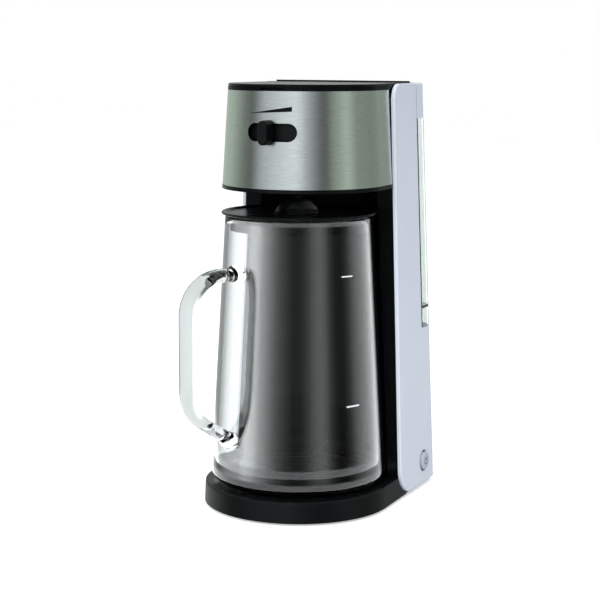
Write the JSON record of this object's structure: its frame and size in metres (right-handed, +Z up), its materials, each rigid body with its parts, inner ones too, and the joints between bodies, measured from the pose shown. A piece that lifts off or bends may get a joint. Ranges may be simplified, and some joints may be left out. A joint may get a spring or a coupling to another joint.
{
  "type": "iced tea maker",
  "caption": "Upright electric iced tea maker: steel-wrapped brew housing with a strength slider over a glass pitcher with a loop handle, white side panels and a clear lift-out tank.",
  "frame": {"origin": "on the table plane, on the axis of the pitcher and of the round base", "axes": "+Z up, -Y towards the front where the pitcher and the knob are, +X the machine's right side, where the power button is"},
  "size_m": [0.1588, 0.2269, 0.3384],
  "materials": {
    "black_body": "satin moulded black",
    "black_gloss": "smooth black",
    "black_lid": "fine satin black",
    "basket_black": "satin black",
    "knob_black": "satin black",
    "button_grey": "smooth light grey",
    "ring_metal": "polished",
    "lid_black": "satin black",
    "screw_steel": "zinc plated",
    "pin_steel": "drawn wire",
    "spring_steel": "drawn spring wire",
    "foot_rubber": "matte",
    "mat_rubber": "matte",
    "cord_rubber": "matte",
    "white_panel": "smooth white",
    "steel_skin": "brushed round the wrap",
    "mesh_steel": "fine mesh",
    "inner_white": "natural moulded",
    "inner_black": "moulded",
    "seal_silicone": "soft translucent",
    "hose_silicone": "soft translucent",
    "heater_metal": "extruded",
    "bracket_steel": "pressed sheet",
    "fuse_metal": "drawn",
    "wire_insulation": "sleeved",
    "pitcher_clear": "clear, polished",
    "clear_tank": "clear moulded"
  },
  "bodies": {
    "machine": {"base_shell": "black_body", "bottom_cover": "black_body", "cover_screws": "screw_steel", "rubber_feet": "foot_rubber", "seat_mat": "mat_rubber", "column_front": "black_gloss", "side_panel_right": "white_panel", "side_panel_left": "white_panel", "rear_cover": "white_panel", "rear_screws": "screw_steel", "inlet_gland": "cord_rubber", "housing_shell": "black_body", "steel_wrap": "steel_skin", "trim_ring": "black_gloss", "top_bezel": "black_body", "lid_hinge_pins": "pin_steel", "brew_well": "black_body", "slider_track": "black_body", "drip_spring": "spring_steel", "valve_retainer": "inner_white", "tank_shelf": "black_body", "tank_socket": "inner_white", "tank_seal": "seal_silicone", "heater_tube": "heater_metal", "heater_bracket": "bracket_steel", "thermostat": "inner_black", "thermal_fuse": "fuse_metal", "check_valve": "inner_white", "inlet_hose": "hose_silicone", "riser_tube": "hose_silicone", "hose_clips": "spring_steel", "terminal_block": "inner_white", "inner_wiring": "wire_insulation", "button_ring": "ring_metal", "switch_body": "inner_black", "button_spring": "spring_steel"},
    "top_lid": {"top_lid": "black_lid", "shower_head": "black_body"},
    "strength_slider": {"strength_slider": "knob_black", "strength_knob": "knob_black"},
    "brew_basket": {"brew_basket": "basket_black", "basket_filter": "mesh_steel"},
    "drip_valve": {"drip_valve": "inner_white", "drip_seal": "seal_silicone"},
    "water_tank": {"water_tank": "clear_tank", "tank_cap": "white_panel", "tank_valve_spring": "spring_steel"},
    "tank_valve": {"tank_valve": "inner_white", "tank_valve_seal": "seal_silicone"},
    "tank_flap": {"tank_flap": "black_lid"},
    "power_button": {"power_button": "button_grey"},
    "pitcher": {"pitcher_glass": "pitcher_clear"},
    "pitcher_lid": {"pitcher_lid": "lid_black", "lid_dome": "lid_black", "lid_gasket": "mat_rubber"}
  },
  "joints": [
    {"name": "top_lid_hinge", "type": "hinge", "parent": "machine", "child": "top_lid", "pos_m": [0, 0.0575, 0.3356], "axis": [-1, 0, 0], "range_deg": [0, 85]},
    {"name": "strength_turn", "type": "hinge", "parent": "machine", "child": "strength_slider", "pos_m": [0, 0.01, 0.301], "axis": [0, 0, 1], "range_deg": [-12, 15]},
    {"name": "basket_lift", "type": "slide", "parent": "machine", "child": "brew_basket", "axis": [0, 0, 1], "range_m": [0, 0.007]},
    {"name": "drip_valve_push", "type": "slide", "parent": "machine", "child": "drip_valve", "axis": [0, 0, 1], "range_m": [0, 0.0025], "stiffness_N_per_m": 150, "springref_m": -0.003, "deforming": ["drip_spring"]},
    {"name": "tank_lift", "type": "slide", "parent": "machine", "child": "water_tank", "axis": [0, 0, 1], "range_m": [0, 0.21]},
    {"name": "tank_valve_push", "type": "slide", "parent": "water_tank", "child": "tank_valve", "axis": [0, 0, 1], "range_m": [0, 0.0025], "stiffness_N_per_m": 120, "springref_m": -0.003, "deforming": ["tank_valve_spring"]},
    {"name": "tank_flap_hinge", "type": "hinge", "parent": "water_tank", "child": "tank_flap", "pos_m": [0, 0.0888, 0.336], "axis": [-1, 0, 0], "range_deg": [0, 80]},
    {"name": "button_press", "type": "slide", "parent": "machine", "child": "power_button", "axis": [-1, 0, 0], "range_m": [0, 0.0015], "stiffness_N_per_m": 600, "springref_m": -0.002, "deforming": ["button_spring"]},
    {"name": "pitcher_out", "type": "slide", "parent": "machine", "child": "pitcher", "axis": [0, -1, 0], "range_m": [0, 0.2]},
    {"name": "pitcher_lid_turn", "type": "hinge", "parent": "pitcher", "child": "pitcher_lid", "pos_m": [0, 0, 0.236], "axis": [0, 0, 1], "range_deg": [0, 90]}
  ]
}
